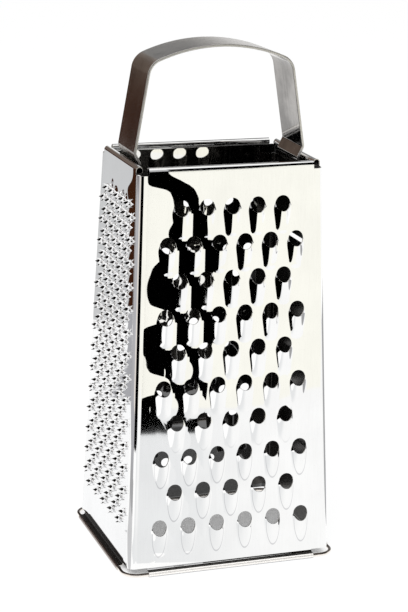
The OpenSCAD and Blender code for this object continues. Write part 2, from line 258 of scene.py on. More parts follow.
def new_paint(name: str) -> tuple[bpy.types.Material, Graph]:
    """Starts a material.

    Args:
        name: its name.

    Returns:
        The material and its empty graph.
    """
    made = bpy.data.materials.new(name)
    made.use_nodes = True
    return made, Graph(made.node_tree)


def tangent(degrees: float) -> float:
    """Tangent of an angle in degrees."""
    return math.tan(math.radians(degrees))


# ---------------------------------------------------------------- finishes

@dataclass(frozen=True)
class SteelFinish:
    """A steel surface: its tone, its gloss, its grain, how its sheet waves and where it leans.

    The tone drops to a darker painted shade tone below low_from and beyond clear_to across. The gloss is a
    roughness, and an optional mask finds where painted shade lines show in their own tone.
    """

    name: str
    tone: Colour = (0.96, 0.96, 0.955)
    metal: float = 1.0
    mottle: float = 0.02
    gloss: float = 0.04
    gloss_spread: float = 0.025
    grain: tuple[float, float, float] = (1400.0, 1400.0, 9.0)
    grain_depth: float = 0.0000006
    wave: float = 0.00005
    wave_scale: float = 22.0
    # Painted shade: the next four fields darken the tone low down and beyond a place across.
    painted_low_shade: Optional[Colour] = None
    low_from: float = 0.0
    low_to: float = 0.0
    clear_to: float = 0.0
    lean: Optional[Callable[[Graph, Sock], Sock]] = None
    # Painted shade lines: a mask, and the darker tone that it shows.
    painted_lines: Optional[Callable[[Graph], Sock]] = None
    painted_line_tone: Colour = (0.68, 0.68, 0.69)
    least_rough: float = 0.02

    def material(self) -> bpy.types.Material:
        """Builds the finish as a material.

        Returns:
            The material.
        """
        made, graph = new_paint(self.name)
        made.diffuse_color = (*self.tone, 1.0)
        brushing = graph.grain(self.grain)
        patches = graph.grain((self.wave_scale * 2.2,) * 3, detail=4.0)
        swell = graph.grain((self.wave_scale,) * 3, detail=1.0)
        dark = tuple(c * (1 - 2 * self.mottle) for c in self.tone)
        light = tuple(min(1.0, c * (1 + self.mottle)) for c in self.tone)
        shade = graph.step(patches * 0.7 + brushing * 0.3, 0.3, 0.7)
        colour = graph.blend(shade, dark, light)
        # Painted shade: below a height and beyond a place across, the tone is blended to a darker shade.
        if self.painted_low_shade:
            x, _, z = graph.axes()
            upper = graph.step(z, self.low_from, self.low_to)
            clear = upper * graph.step(x, self.clear_to + 3, self.clear_to)
            colour = graph.blend(clear, self.painted_low_shade, colour)
        # Painted shade lines: the mask blends the colour to their darker tone.
        if self.painted_lines:
            colour = graph.blend(self.painted_lines(graph), colour, self.painted_line_tone)
        rough = (patches * 0.5 + brushing * 0.5 - 0.5) * (2 * self.gloss_spread) + self.gloss
        normal = graph.node("ShaderNodeNewGeometry", output="Normal")
        if self.lean:
            normal = self.lean(graph, normal)
        for depth, relief in ((self.wave, swell), (self.grain_depth, brushing)):
            inputs = {"Distance": depth, "Height": relief, "Normal": normal}
            normal = graph.node("ShaderNodeBump", None, inputs)
        inputs = {
            "Base Color": colour,
            "Metallic": self.metal,
            "Roughness": rough.most(self.least_rough),
            "Normal": normal,
        }
        shader = graph.node("ShaderNodeBsdfPrincipled", None, inputs)
        graph.node("ShaderNodeOutputMaterial", None, {"Surface": shader})
        return made


# Edges of the swell in the coarse face: height above the table and place across, in millimetres.
SWELL_LEFT: tuple[Point, ...] = (
    (66, -45), (83.5, -44), (85.2, -40), (86.5, -32.5), (90.4, -29.8), (93.5, -32.5), (95.5, -38),
    (98, -40.2), (103, -41), (107, -43), (115.5, -42.6), (117.6, -39), (119, -33), (121, -30.4),
    (123.5, -31), (125.6, -35), (127, -38.5), (133.2, -40.2), (140, -39), (145, -36.5), (149.5, -31.6),
    (154, -29.8), (160, -30.2), (165, -27.5), (170, -27.5), (175.5, -28.5), (178, -30), (179.2, -33),
    (180.6, -38), (182.5, -39.7), (186, -41),
)
SWELL_RIGHT: tuple[Point, ...] = (
    (66, -14), (86, -12), (100, -11), (118, -9), (135, -11), (147, -8.5), (158, -11), (166, -14.5),
    (171, -16.5), (175, -17.1), (179, -19.4), (181, -22.4), (183.5, -27), (186, -31),
)
# A ramp holds such an edge: its whole length stands for this height, and white for this width.
RAMP_H = 200
RAMP_W = 50
# Dimples above the stars: place past the corner, height, half width and half height, in millimetres.
FINE_DIMPLES = (
    (40.0, 174.2, 1.6, 2.0), (34.0, 171.2, 3.2, 3.0), (23.0, 173.6, 1.3, 1.0), (18.0, 171.6, 1.6, 2.6),
)
# The near corner on the front and on the left face: half width on the table and its loss by height.
FRONT_CORNER = (49.86, 0.03189)
LEFT_CORNER = (41.57, 0.06324)


@dataclass(frozen=True)
class DomeGrid:
    """Where the coarse domes sit, for the finish that follows them, in millimetres."""

    top: float = 170.2
    row_h: float = 16.43
    pitch: float = 14.224
    pitch_loss: float = 0.012756
    dome_at: float = 3.0
    dome_h: float = 11.1
    dome_half: float = 3.4

    def rows(self, z: Sock) -> tuple[Sock, Sock, Sock]:
        """Counts the rows of domes.

        Args:
            z: above the table, in millimetres.

        Returns:
            The row with its part, the pitch of its columns, and its shift in columns.
        """
        row = (self.top - z) / self.row_h
        return row, self.pitch - z * self.pitch_loss, (row.whole() * 0.5).part()


GRID = DomeGrid()


def past_corner(across: Sock, z: Sock, corner: Point) -> Sock:
    """Distance from the near upright corner, in millimetres."""
    return across + corner[0] - z * corner[1]


def edge_across(graph: Graph, height: Sock, points: Sequence[Point]) -> Sock:
    """Place across the sheet of an uneven upright edge.

    Args:
        graph: the material's graph.
        height: above the table, in millimetres.
        points: the edge, as heights and places across, from the lowest.

    Returns:
        The place across, in millimetres.
    """
    stops = [(z / RAMP_H, ((x + RAMP_W) / RAMP_W,) * 3) for z, x in points]
    settings = {"stops": stops, "curve": "CARDINAL"}
    ramp = graph.node("ShaderNodeValToRGB", settings, {0: height * (1 / RAMP_H)})
    return ramp * RAMP_W - RAMP_W


def beside_domes(graph: Graph, x: Sock, z: Sock) -> Sock:
    """Finds the strip beside each coarse dome that stays level, where the sheet is stiff.

    Args:
        graph: the material's graph.
        x: across the sheet, in millimetres.
        z: above the table, in millimetres.

    Returns:
        1 in the strip and 0 elsewhere.
    """
    row, pitch, shift = GRID.rows(z)
    column, down = x / pitch + shift, row.part()
    beside = column.part() * pitch
    right = graph.step(beside, 0.1, 0.7) * graph.step(beside, 5.9, 5.1)
    strip = right * graph.step(down, 0.1, 0.2) * graph.step(down, 0.96, 0.88)
    strip = strip * graph.step(column, -2.12, -2.04)
    off = ((column + 0.36).part() - 0.5) * pitch
    away = off * off * (1 / 30) + (down - 0.56) * (down - 0.56) * 7.3
    blob = graph.step(away, 1.15, 0.85) * graph.step(column, -2.55, -2.45)
    blob = blob * graph.step(z, 110.0, 104.0)
    return strip.most(blob) * graph.step(row, -0.02, 0.02)


def painted_tongue_lines(graph: Graph) -> Sock:
    """Finds the thin painted line round the foot of each dome in the lowest rows, a darker painted
    reflection of the tight bend.

    Args:
        graph: the material's graph.

    Returns:
        1 on the line and 0 elsewhere.
    """
    x, _, z = graph.axes()
    row, pitch, shift = GRID.rows(z)
    down = row.part() * GRID.row_h
    aside = ((x / pitch + shift + 0.5).part() - 0.5) * pitch * (1 / GRID.dome_half)
    below = (down - GRID.dome_at) * (1 / GRID.dome_h)
    ring = graph.step((aside * aside + below * below - 1.0).size(), 0.11, 0.03)
    real = graph.step(x.size() / pitch - shift, 2.52, 2.48) * graph.step(down, 2.2, 3.2)
    return ring * real * graph.step(z, 62.0, 52.0)


def painted_bead_shade(graph: Graph) -> Sock:
    """The lowest strip of the base bead, darkened by painted shade: 1 on it and 0 elsewhere."""
    return graph.step(graph.axes()[2], 0.6, 0.35)


def painted_wire_shade(graph: Graph) -> Sock:
    """The upper side of the base wire, darkened by painted shade: 1 on it and 0 elsewhere."""
    return graph.step(graph.axes()[2], 1.45, 1.7)


def scoop_field_swell(graph: Graph, normal: Sock) -> Sock:
    """Leans the coarse face left where the scoops swell it, and right at its edges.

    Args:
        graph: the material's graph.
        normal: the surface's normal.

    Returns:
        The leaned normal.
    """
    x, _, z = graph.axes()
    left = x - edge_across(graph, z, SWELL_LEFT)
    right = x - edge_across(graph, z, SWELL_RIGHT)
    inside = graph.step(left, -0.8, 1.6) * graph.step(right, 1.6, -1.0)
    inside = inside * ((x + 45.0) * 0.0021 + 0.044)
    swell = inside * (1.0 - beside_domes(graph, x, z))
    bulge = graph.step(x, 2.0, 42.0) * tangent(10.0)
    leaned = graph.tilt(normal, (1.0, 0.0, 0.0), bulge - swell)
    past = past_corner(x, z, FRONT_CORNER)
    brow = graph.step(past, 2.0, 2.4) * graph.step(past, 4.2, 3.4)
    return graph.tilt(leaned, (1.0, 0.0, 0.0), brow * tangent(14.0))


def star_field_swell(graph: Graph, normal: Sock) -> Sock:
    """Leans the fine face to the front beside its rows of stars and in the dimples above them.

    Args:
        graph: the material's graph.
        normal: the surface's normal.

    Returns:
        The leaned normal.
    """
    _, y, z = graph.axes()
    ripple = ((z - GRID.top) * (math.pi / 5.3)).cosine() * 0.9
    past = past_corner(y, z, LEFT_CORNER)
    narrow = graph.step(z, 176.0, 186.0) * 8.0 + graph.step(z, 170.0, 164.0) * 3.0
    narrow = narrow + (180.0 - z) * 0.03
    near = graph.step(past + ripple + narrow, 16.4, 15.4) * tangent(2.6)
    for across, up, wide, tall in FINE_DIMPLES:
        off, rise = (past - across) * (1 / wide), (z - up) * (1 / tall)
        near = near.most(graph.step(off * off + rise * rise, 1.15, 0.85) * tangent(4.2))
    return graph.tilt(normal, (0.0, -1.0, 0.0), near)


def back_wall_lean(graph: Graph, normal: Sock) -> Sock:
    """Leans the inside of the back sheet a little forward and to the left under its rim.

    Args:
        graph: the material's graph.
        normal: the surface's normal.

    Returns:
        The leaned normal.
    """
    _, _, z = graph.axes()
    near = graph.step(z, 150.0, 170.0)
    lowered = graph.tilt(normal, (0.0, 0.0, -1.0), near * tangent(2.85))
    return graph.tilt(lowered, (1.0, 0.0, 0.0), near * tangent(0.55))


def strap_dip(graph: Graph, normal: Sock) -> Sock:
    """Leans the strap's inner side a little down near the joggles.

    Args:
        graph: the material's graph.
        normal: the surface's normal.

    Returns:
        The leaned normal.
    """
    _, _, z = graph.axes()
    near = graph.step(z, 218.0, 206.0) * graph.step(z, 191.0, 192.0)
    return graph.tilt(normal, (0.0, 0.0, -1.0), near * tangent(2.6))


# Painted reflection: the coarse face gets a thin darker line round the feet of its lowest domes.
POLISHED_COARSE = SteelFinish("polished_coarse_sheet", lean=scoop_field_swell, painted_lines=painted_tongue_lines)
POLISHED_FINE = SteelFinish("polished_fine_sheet", tone=(0.91, 0.915, 0.92), lean=star_field_swell)
TORN_STEEL = SteelFinish(
    "torn_points",
    tone=(0.99, 0.985, 0.98),
    metal=0.25,
    gloss=0.2,
    gloss_spread=0.1,
    grain=(900.0, 900.0, 900.0),
)
POLISHED_PLAIN = SteelFinish("polished_plain_sheet")
# Painted shade: the inside of the front, left and right sheets gets a near-black tone, for the dark inside
# of the body.
INNER_PAINTED_SHADE = SteelFinish(
    "inner_sheet_painted_shade", tone=(0.10, 0.095, 0.09), gloss=0.22, gloss_spread=0.08, grain=(500.0, 500.0, 12.0),
)
# Painted shade: the inside of the back sheet is a bright mirror only high up and left of 14 mm across;
# lower and farther right its tone is painted dark.
INNER_MIRROR = SteelFinish(
    "inner_back_sheet",
    tone=(0.93, 0.92, 0.88),
    gloss=0.02,
    gloss_spread=0.01,
    painted_low_shade=(0.16, 0.16, 0.16),
    low_from=70.0,
    low_to=84.0,
    clear_to=14.0,
    lean=back_wall_lean,
)
# Painted shade: a near-black tone on the foot's concave flare and shelf, where shade falls in the bend.
FLARE_PAINTED_SHADE = SteelFinish("flare_painted_shade", tone=(0.018, 0.016, 0.014), gloss=0.3, gloss_spread=0.1)
# The base bead comes in two copies: this lit copy for the front and back, and a darker, browner painted
# shaded copy for the left and right.
BEAD_LIGHT = SteelFinish(
    "base_bead",
    tone=(0.92, 0.895, 0.86),
    metal=0.5,
    gloss=0.2,
    gloss_spread=0.08,
    # Painted shade: a dark blue-grey strip along the bead's lowest edge, against the table.
    painted_lines=painted_bead_shade,
    painted_line_tone=(0.17, 0.19, 0.23),
)
# Painted shade: the shaded copy of the base bead, for the left and right faces.
BEAD_PAINTED_SHADE = SteelFinish("side_bead_painted_shade", tone=(0.32, 0.27, 0.245), gloss=0.2, gloss_spread=0.08)
SHEARED_EDGE = SteelFinish(
    "sheared_edge", tone=(0.72, 0.70, 0.67), gloss=0.30, gloss_spread=0.12, grain=(900.0, 900.0, 900.0),
)
BRIGHT_WIRE = SteelFinish(
    "drawn_wire",
    tone=(0.94, 0.89, 0.83),
    metal=0.9,
    gloss=0.12,
    grain=(300.0, 300.0, 1500.0),
    # Painted shade: a near-black tone on the wire's upper side, inside the roll.
    painted_lines=painted_wire_shade,
    painted_line_tone=(0.05, 0.034, 0.026),
)
SATIN_STRAP = SteelFinish(
    "satin_strap",
    tone=(0.66, 0.63, 0.60),
    mottle=0.15,
    gloss=0.23,
    gloss_spread=0.07,
    grain=(26.0, 2600.0, 26.0),
    grain_depth=0.0000035,
    wave=0.00003,
)
STRAP_INSIDE = replace(
    SATIN_STRAP, name="strap_inside", mottle=0.26, gloss=0.08, gloss_spread=0.03, grain_depth=0.0000012,
    lean=strap_dip,
)


# ---------------------------------------------------------------- mesh helpers

# Edges that turn by more than this are bevelled, or shaded as sharp.
BEVEL_ANGLE = math.radians(60)
SHARP_ANGLE = math.radians(38)


class Skin(IntEnum):
    """First material of each part of a sheet. Solidify adds 1 on the inner side and 2 on the cut edge."""

    OUTSIDE = 0
    FLARE = 3
    BEAD = 6
    TORN = 9


def open_edges(loop: Verts) -> Edges:
    """The edges between neighbours on a loop that have one face at most, each once and in order.

    Args:
        loop: the vertices of the loop.

    Returns:
        The edges.
    """
    ring = set(loop)
    found = (e for v in loop for e in v.link_edges if e.other_vert(v) in ring and len(e.link_faces) < 2)
    return list(dict.fromkeys(found))


def grow(bm: BMesh, loop: Verts, spots: Iterable[Vector]) -> Verts:
    """Extrudes a closed loop and moves the new loop to new places.

    Args:
        bm: the mesh.
        loop: the vertices of the loop, in order.
        spots: where each new vertex goes, in the same order.

    Returns:
        The new loop.
    """
    ring = set(loop)
    made = bmesh.ops.extrude_edge_only(bm, edges=open_edges(loop))["geom"]
    source = {}
    for vert in (g for g in made if isinstance(g, bmesh.types.BMVert)):
        for edge in vert.link_edges:
            if edge.other_vert(vert) in ring:
                source[edge.other_vert(vert)] = vert
    out = [source[v] for v in loop]
    for vert, spot in zip(out, spots):
        vert.co = spot
    return out


def keep_mesh(bm: BMesh, name: str, outer: Sequence[bmesh.types.BMVert] = ()) -> bpy.types.Mesh:
    """Turns a bmesh into a mesh and frees it.

    Args:
        bm: the bmesh.
        name: the mesh's name.
        outer: a form's outer loop, which is marked, because it joins the flat sheet.

    Returns:
        The mesh.
    """
    for edge in open_edges(outer):
        edge.seam = True
    made = bpy.data.meshes.new(name)
    bm.to_mesh(made)
    bm.free()
    return made


def put_down(name: str, data: bpy.types.ID) -> bpy.types.Object:
    """Puts a new object into the scene.

    Args:
        name: its name.
        data: its mesh, light or camera.

    Returns:
        The object.
    """
    obj = bpy.data.objects.new(name, data)
    bpy.context.collection.objects.link(obj)
    return obj


def draw_out(bm: BMesh, edges: Edges, by: Vector) -> Edges:
    """Extrudes an open row of edges straight.

    Args:
        bm: the mesh.
        edges: the edges.
        by: the way and length.

    Returns:
        The new outermost edges.
    """
    made = bmesh.ops.extrude_edge_only(bm, edges=edges)["geom"]
    verts = [g for g in made if isinstance(g, bmesh.types.BMVert)]
    bmesh.ops.translate(bm, verts=verts, vec=by)
    fresh = set(verts)
    return [g for g in made if isinstance(g, bmesh.types.BMEdge) and set(g.verts) <= fresh]


def fold(
    bm: BMesh,
    edges: Edges,
    centre: Vector,
    axis: Vector,
    angle: float,
    steps: int,
) -> Edges:
    """Bends an open row of edges round an axis.

    Args:
        bm: the mesh.
        edges: the edges.
        centre: a point on the axis.
        axis: its direction.
        angle: the turn, in radians.
        steps: number of facets.

    Returns:
        The new outermost edges.
    """
    ends = list(dict.fromkeys(v for e in edges for v in e.verts))
    made = bmesh.ops.spin(
        bm, geom=ends + edges, cent=centre, axis=axis, dvec=(0, 0, 0),
        angle=angle, steps=steps, use_merge=False, use_duplicate=False,
    )
    return [g for g in made["geom_last"] if isinstance(g, bmesh.types.BMEdge)]


def around(angles: Iterable[float], radius: float, height: float) -> list[Vector]:
    """Places on a circle at some angles in radians."""
    return [Vector((radius * math.cos(a), radius * math.sin(a), height)) for a in angles]


def along(points: Sequence[Point], share: float) -> Point:
    """Place at a share of a polyline's length.

    Args:
        points: the polyline.
        share: from 0 to 1.

    Returns:
        The place.
    """
    spans = [math.dist(a, b) for a, b in zip(points, points[1:])]
    left = share * sum(spans)
    for (a, b), span in zip(zip(points, points[1:]), spans):
        if left <= span:
            t = left / span
            return a[0] + (b[0] - a[0]) * t, a[1] + (b[1] - a[1]) * t
        left -= span
    return points[-1]


def outward_up(bm: BMesh, face: bmesh.types.BMFace) -> None:
    """Turns all faces evenly, so that one of them looks up."""
    face.normal_update()
    if face.normal.z < 0:
        bmesh.ops.reverse_faces(bm, faces=bm.faces)


def finish_object(
    name: str,
    bm: BMesh,
    finishes: Sequence[bpy.types.Material],
    thickness: float,
    centred: bool = False,
    bevel: float = 0.0,
    thin_group: bool = False,
) -> bpy.types.Object:
    """Turns a surface in millimetres into a finished sheet-metal object in metres.

    Args:
        name: the piece's name.
        bm: the surface, with outward faces.
        finishes: materials of the outside, the inside and the cut edge.
        thickness: of the metal, in millimetres.
        centred: whether the metal lies evenly about the surface.
        bevel: width of the broken edges, in millimetres.
        thin_group: whether the layer "thin" makes the metal thinner.

    Returns:
        The object.
    """
    bmesh.ops.scale(bm, vec=(MM, MM, MM), verts=bm.verts)
    mesh = keep_mesh(bm, name)
    obj = put_down(name, mesh)
    for finish in finishes:
        mesh.materials.append(finish)
    wall = obj.modifiers.new("wall", "SOLIDIFY")
    wall.thickness = thickness * MM
    wall.offset = 0.0 if centred else -1.0
    wall.use_even_offset = True
    wall.use_quality_normals = True
    wall.material_offset = 1
    wall.material_offset_rim = 2
    if thin_group:
        group = obj.vertex_groups.new(name="metal")
        for index, item in enumerate(mesh.attributes["thin"].data):
            group.add([index], 1.0 - item.value, "REPLACE")
        wall.vertex_group = "metal"
    if bevel:
        edge = obj.modifiers.new("edge", "BEVEL")
        edge.width = bevel * MM
        edge.segments = 3
        edge.limit_method = "ANGLE"
        edge.angle_limit = BEVEL_ANGLE
        edge.harden_normals = False
    graph = bpy.context.evaluated_depsgraph_get()
    solid = bpy.data.meshes.new_from_object(obj.evaluated_get(graph), depsgraph=graph)
    obj.modifiers.clear()
    obj.vertex_groups.clear()
    obj.data = solid
    solid.name = name
    bpy.data.meshes.remove(mesh)
    solid.shade_smooth()
    solid.set_sharp_from_angle(angle=SHARP_ANGLE)
    even = obj.modifiers.new("even", "WEIGHTED_NORMAL")
    even.keep_sharp = True
    return obj


# ---------------------------------------------------------------- body sizes

@dataclass(frozen=True)
class BodySizes:
    """Sizes that the four sheets share, in millimetres."""

    base_w: float = 99.5
    base_d: float = 82.7
    top_w: float = 87.7
    top_d: float = 59.3
    rim_h: float = 188.5
    sheet_t: float = 0.4
    corner_r: float = 3.2
    lip_w: float = 0.8
    seam_gap: float = 0.08
    seam_step: float = 0.3
    flange_w: float = 6.0
    nest_gap: float = 0.05
    flange_base: float = 2.0
    flange_drop: float = 8.0
    hem_d: float = 3.4
    hem_setback: float = 4.8
    roll_r: float = 1.25
    tread_flat: float = 0.12
    flare_r: float = 1.1
    shelf_w: float = 0.89
    base_setback: float = 9.0
    pattern_top: float = 18.3
    pattern_base: float = 18.9
    weld_drop: float = 14.8
    weld_aside: float = 9.0

    @property
    def foot_h(self) -> float:
        """Height of the faces' lower edges."""
        return 2 * self.roll_r - self.tread_flat + self.flare_r

    @property
    def face_h(self) -> float:
        """Height of the faces."""
        return self.rim_h - self.foot_h

    @property
    def slope_x(self) -> float:
        """Loss of half width per height of the front and back faces."""
        return (self.base_w - self.top_w) / 2 / self.face_h

    @property
    def slope_y(self) -> float:
        """Loss of half width per height of the left and right faces."""
        return (self.base_d - self.top_d) / 2 / self.face_h

    @property
    def bend_turn(self) -> float:
        """Turn of the sheet round an upright corner.

        Returns:
            The turn, in radians.
        """
        edge = Vector((self.slope_x, self.slope_y, 1)).normalized()
        front = (Vector((1, 0, 0)) - edge.x * edge).normalized()
        left = (Vector((0, 1, 0)) - edge.y * edge).normalized()
        return math.pi - front.angle(left)

    @property
    def bend_at(self) -> float:
        """Distance across a face from the sharp corner to the bend."""
        return self.corner_r * math.tan(self.bend_turn / 2)


SIZES = BodySizes()


class Side(Enum):
    """A side of the body, by its turn about Z in degrees."""

    FRONT = 0
    LEFT = -90
    BACK = 180
    RIGHT = 90


@dataclass(frozen=True)
class Face:
    """One leaning face: X to the right, Y up the slope, Z outward, from the middle of its lower edge."""

    side: Side

    @property
    def wide(self) -> bool:
        """Whether it is the front or back face."""
        return self.side in (Side.FRONT, Side.BACK)

    @property
    def half_depth(self) -> float:
        """Distance of the lower edge from the axis."""
        return (SIZES.base_d if self.wide else SIZES.base_w) / 2

    @property
    def half_width(self) -> float:
        """Half width at the lower edge."""
        return (SIZES.base_w if self.wide else SIZES.base_d) / 2

    @property
    def lean(self) -> float:
        """Lean inward, in radians."""
        return math.atan(SIZES.slope_y if self.wide else SIZES.slope_x)

    @property
    def slope(self) -> float:
        """Loss of half width per length up the slope."""
        return (SIZES.slope_x if self.wide else SIZES.slope_y) * math.cos(self.lean)

    def up(self, z: float) -> float:
        """Place up the slope of a height above the table."""
        return (z - SIZES.foot_h) / math.cos(self.lean)

    def half_at(self, v: float) -> float:
        """Half width at a place up the slope."""
        return self.half_width - v * self.slope

    def matrix(self) -> Matrix:
        """Places the face's own frame on the body.

        Returns:
            The matrix, in millimetres.
        """
        turn = Matrix.Rotation(math.radians(self.side.value), 4, "Z")
        shift = Matrix.Translation((0, -self.half_depth, SIZES.foot_h))
        return turn @ shift @ Matrix.Rotation(math.pi / 2 - self.lean, 4, "X")


# ---------------------------------------------------------------- pressed forms

@dataclass(frozen=True)
class Scoop:
    """A round mouth with a tapered dome below it, in millimetres."""

    mouth: float
    lip: float
    tail: float
    half: float
    tail_half: float
    length: float
    head: float = 2.3
    tail_r: float = 2.2
    flank: float = 1.35
    lean: float = 10.0
    margin: float = 0.4
    spokes: int = 48
    shares: tuple[float, ...] = (0.08, 0.18, 0.29, 0.41, 0.53, 0.65, 0.76, 0.86, 0.94, 1.0)

    def height(self, u: float, v: float) -> float:
        """Height of the pressed metal above the face.

        Args:
            u: across the face, from the middle of the mouth.
            v: up the face, from the middle of the mouth.

        Returns:
            The height.
        """
        share = min(1.0, max(0.0, -v / self.length))
        high = self.lip + (self.tail - self.lip) * share
        off = v / self.head if v > 0 else max(0.0, -v - self.length) / self.tail_r
        out = min(1.0, math.hypot(u / self.half_at(v), off))
        return high * math.cos(out ** self.flank * math.pi / 2) ** 2

    def half_at(self, v: float) -> float:
        """Half width of the dome at a place below the mouth's middle.

        Args:
            v: up the face, from the middle of the mouth.

        Returns:
            The half width.
        """
        share = min(1.0, max(0.0, -v / self.length))
        spread = min(1.0, share / 0.3)
        narrow = self.mouth / 2 + 0.25
        return narrow + (self.half - narrow) * spread * (2 - spread) + (self.tail_half - self.half) * share

    def outlines(self) -> tuple[list[Point], list[Point]]:
        """Plan of the mouth's rim and of the form's outer edge.

        Returns:
            The inner and the outer loop, with as many points.
        """
        r, side, slant = self.mouth / 2, self.half_at(0.0), math.tan(math.radians(self.lean))
        turns = [math.pi * k / 16 for k in range(17)]
        arc = [(self.tail_half * math.cos(a), -self.length - self.tail_r * math.sin(a)) for a in turns]
        levels = [-self.length * k / 12 for k in range(12)]
        right = [(self.half_at(v), v) for v in levels]
        below = [*right, *arc, *[(-u, v) for u, v in reversed(right)]]
        inner, outer = [], []
        for k in range(self.spokes):
            a = 2 * math.pi * k / self.spokes
            u, v = r * math.cos(a), r * math.sin(a)
            w = 0.0
            for _ in range(12):
                w = self.height(u, v - w * slant)
            inner.append((u, v - w * slant))
            if a <= math.pi:
                outer.append((side * math.cos(a), (r + self.margin) * math.sin(a)))
            else:
                outer.append(along(below, 1 - (a - math.pi) / math.pi))
        return inner, outer

    def mesh(self) -> bpy.types.Mesh:
        """Builds the form once, to be copied.

        Returns:
            The mesh, with its outer loop marked.
        """
        bm = bmesh.new()
        inner, outer = self.outlines()
        loop = bmesh.ops.create_circle(bm, cap_ends=False, radius=1.0, segments=len(inner))["verts"]
        for vert, (u, v) in zip(loop, inner):
            vert.co = (u, v, self.height(u, v))
        for share in self.shares:
            spots = []
            for (a, b), (c, d) in zip(inner, outer):
                u, v = a + (c - a) * share, b + (d - b) * share
                spots.append(Vector((u, v, 0.0 if share == 1.0 else self.height(u, v))))
            loop = grow(bm, loop, spots)
        return keep_mesh(bm, "scoop", loop)


@dataclass(frozen=True)
class Blade(Scoop):
    """A slicing blade: a long slot with a ramp below it. The mouth is the slot's length."""

    gap: float = 3.6
    shoulder: float = 0.6
    nose: float = 1.2
    cheek: float = 0.97

    def height(self, u: float, v: float) -> float:
        """Height of the ramp and its cheeks above the face.

        Args:
            u: across the face, from the middle of the slot.
            v: up the face, from the slot's edge.

        Returns:
            The height.
        """
        if v > 0.01:
            return 0.0
        level = self.lip * max(0.0, 1 + v / self.length)
        past = max(0.0, abs(u) - self.mouth / 2)
        return math.sqrt(max(0.0, level * level - past * past))

    def outlines(self) -> tuple[list[Point], list[Point]]:
        """Plan of the slot and of the form's outer edge.

        Returns:
            The inner and the outer loop, with as many points.
        """
        half, m, g = self.mouth / 2, self.margin, self.gap
        end = half + self.lip * self.cheek
        far, knee, nose = end + m, g * self.shoulder, self.nose
        over = [(end, 0.0), (end, knee), (end - nose, g), (nose - end, g), (-end, knee), (-end, 0.0)]
        round_over = [
            (far, 0.0), (far, knee), (far - nose, g + m), (nose - far, g + m), (-far, knee), (-far, 0.0),
        ]
        below = [(-far, 0.0), (-half - m, -self.length - m), (half + m, -self.length - m), (far, 0.0)]
        count = self.spokes // 2
        inner = [along(over, k / count) for k in range(count)]
        inner += [along([(-end, 0.0), (end, 0.0)], k / count) for k in range(count)]
        outer = [along(round_over, k / count) for k in range(count)]
        outer += [along(below, k / count) for k in range(count)]
        return inner, outer


@dataclass(frozen=True)
class Star:
    """A pierced hole with torn points round it, in millimetres."""

    foot: float = 2.05
    shoulder: float = 1.75
    shoulder_h: float = 0.6
    tip_h: float = 2.4
    tip_at: float = 2.0
    valley_h: float = 0.55
    valley_at: float = 1.5
    points: int = 4
    rises: tuple[float, ...] = (1.0, 0.34, 0.0, 0.34)
    reaches: tuple[float, ...] = (1.0, 0.5, 0.0, 0.5)
    uneven: float = 0.08
    least_rise: float = 0.82
    tip_thin: float = 0.85
    shoulder_thin: float = 0.45

    def mesh(self, chance: random.Random) -> bpy.types.Mesh:
        """Builds one star with slightly uneven points, to be copied.

        Args:
            chance: the source of unevenness.

        Returns:
            The mesh, with its outer loop marked.
        """
        bm = bmesh.new()
        thin = bm.verts.layers.float.new("thin")
        count = self.points * 4
        loop = bmesh.ops.create_circle(bm, cap_ends=False, radius=1.0, segments=count)["verts"]
        angles = [2 * math.pi * k / count for k in range(count)]
        for k, (vert, a) in enumerate(zip(loop, angles)):
            reach = self.valley_at + (self.tip_at - self.valley_at) * self.reaches[k % 4]
            reach *= 1 + chance.uniform(-self.uneven, self.uneven)
            rise = (self.tip_h - self.valley_h) * self.rises[k % 4]
            high = self.valley_h + rise * chance.uniform(self.least_rise, 1.0)
            vert.co = (reach * math.cos(a), reach * math.sin(a), high)
            vert[thin] = self.tip_thin
        loop = grow(bm, loop, around(angles, self.shoulder, self.shoulder_h))
        for vert in loop:
            vert[thin] = self.shoulder_thin
        for face in bm.faces:
            face.material_index = Skin.TORN
        loop = grow(bm, loop, around(angles, self.foot, 0.0))
        for vert in loop:
            vert[thin] = 0.0
        for face in {f for v in loop for f in v.link_faces}:
            face.material_index = Skin.OUTSIDE
        return keep_mesh(bm, "star", loop)


@dataclass(frozen=True)
class WeldMark:
    """A shallow round dent over a spot weld, in millimetres."""

    width: float = 2.8
    depth: float = 0.14
    rings: tuple[Point, ...] = ((0.5, 0.8), (0.75, 0.45), (0.92, 0.08), (1.02, 0.0))

    def mesh(self) -> bpy.types.Mesh:
        """Builds the dent, to be copied.

        Returns:
            The mesh, with its outer loop marked.
        """
        bm = bmesh.new()
        r = self.width / 2
        loop = bmesh.ops.create_circle(bm, cap_ends=True, radius=r * 0.25, segments=20)["verts"]
        bmesh.ops.translate(bm, verts=loop, vec=(0, 0, -self.depth))
        flat = [Vector((v.co.x, v.co.y, 0.0)).normalized() for v in loop]
        for share, fall in self.rings:
            loop = grow(bm, loop, [d * (r * share) - Vector((0, 0, self.depth * fall)) for d in flat])
        return keep_mesh(bm, "weld_mark", loop)


@dataclass(frozen=True)
class Rows:
    """Staggered rows that fan with the face."""

    rows: int
    cols: int
    margin: float

    def places(self, face: Face) -> list[Point]:
        """Where each form sits on a face.

        Args:
            face: the face.

        Returns:
            The places, row by row from the top.
        """
        top = face.up(SIZES.rim_h - SIZES.pattern_top)
        low = face.up(SIZES.foot_h + SIZES.pattern_base)
        out = []
        for row in range(self.rows):
            v = top - row * (top - low) / (self.rows - 1)
            count = self.cols - 1 if row % 2 == 0 else self.cols
            pitch = 2 * (face.half_at(v) - self.margin) / (self.cols - 1)
            out += [((col - (count - 1) / 2) * pitch, v) for col in range(count)]
        return out


# ---------------------------------------------------------------- sheets

